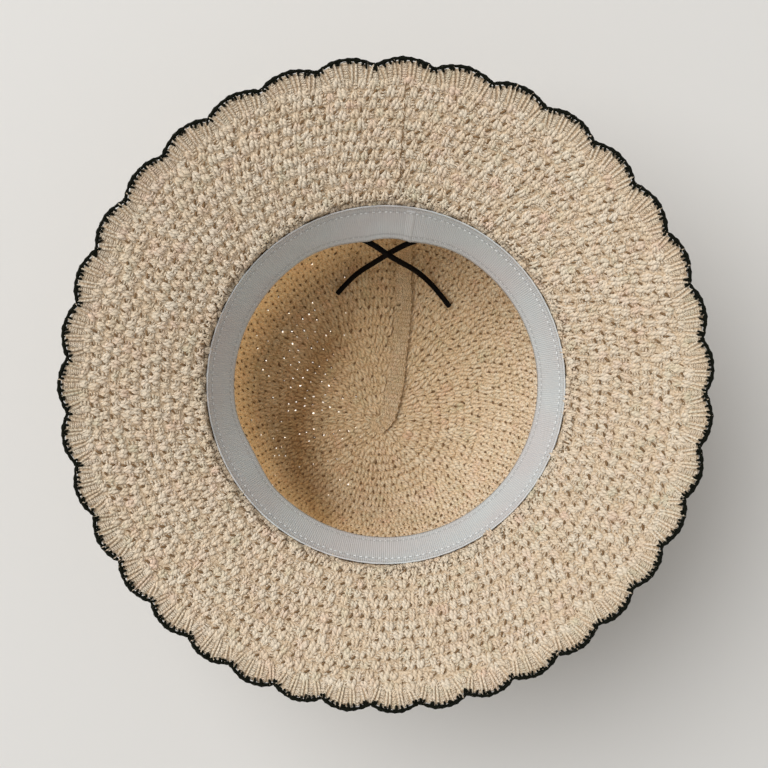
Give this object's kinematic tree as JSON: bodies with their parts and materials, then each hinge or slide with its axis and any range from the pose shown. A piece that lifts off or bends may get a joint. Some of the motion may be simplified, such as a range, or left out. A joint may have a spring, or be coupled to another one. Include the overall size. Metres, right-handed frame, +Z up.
{
  "type": "knit bucket hat",
  "caption": "Wide-brimmed knit bucket hat lying mouth up, with a scalloped brim, a crocheted edging, a ribbon sweatband and a drawcord.",
  "frame": {"origin": "on the surface that the hat lies on, under the axis of its head opening", "axes": "+Z up along the hat's axis and out of its mouth, +Y towards the back of the hat, where the seam and the drawcord's ends are"},
  "size_m": [0.3217, 0.3216, 0.1396],
  "materials": {
    "straw_knit": "matte plied straw yarn, knitted",
    "black_crochet": "matte crocheted yarn",
    "grosgrain_ribbon": "satin, fine cross ribs",
    "black_cord": "matte braid, cut square"
  },
  "bodies": {
    "root": {"crown": "straw_knit", "brim": "straw_knit", "seam_allowance": "straw_knit", "edging": "black_crochet", "sweatband": "grosgrain_ribbon", "sweatband_joint": "grosgrain_ribbon", "drawcord_loop": "black_cord", "drawcord_end_left": "black_cord", "drawcord_end_right": "black_cord"}
  },
  "joints": []
}
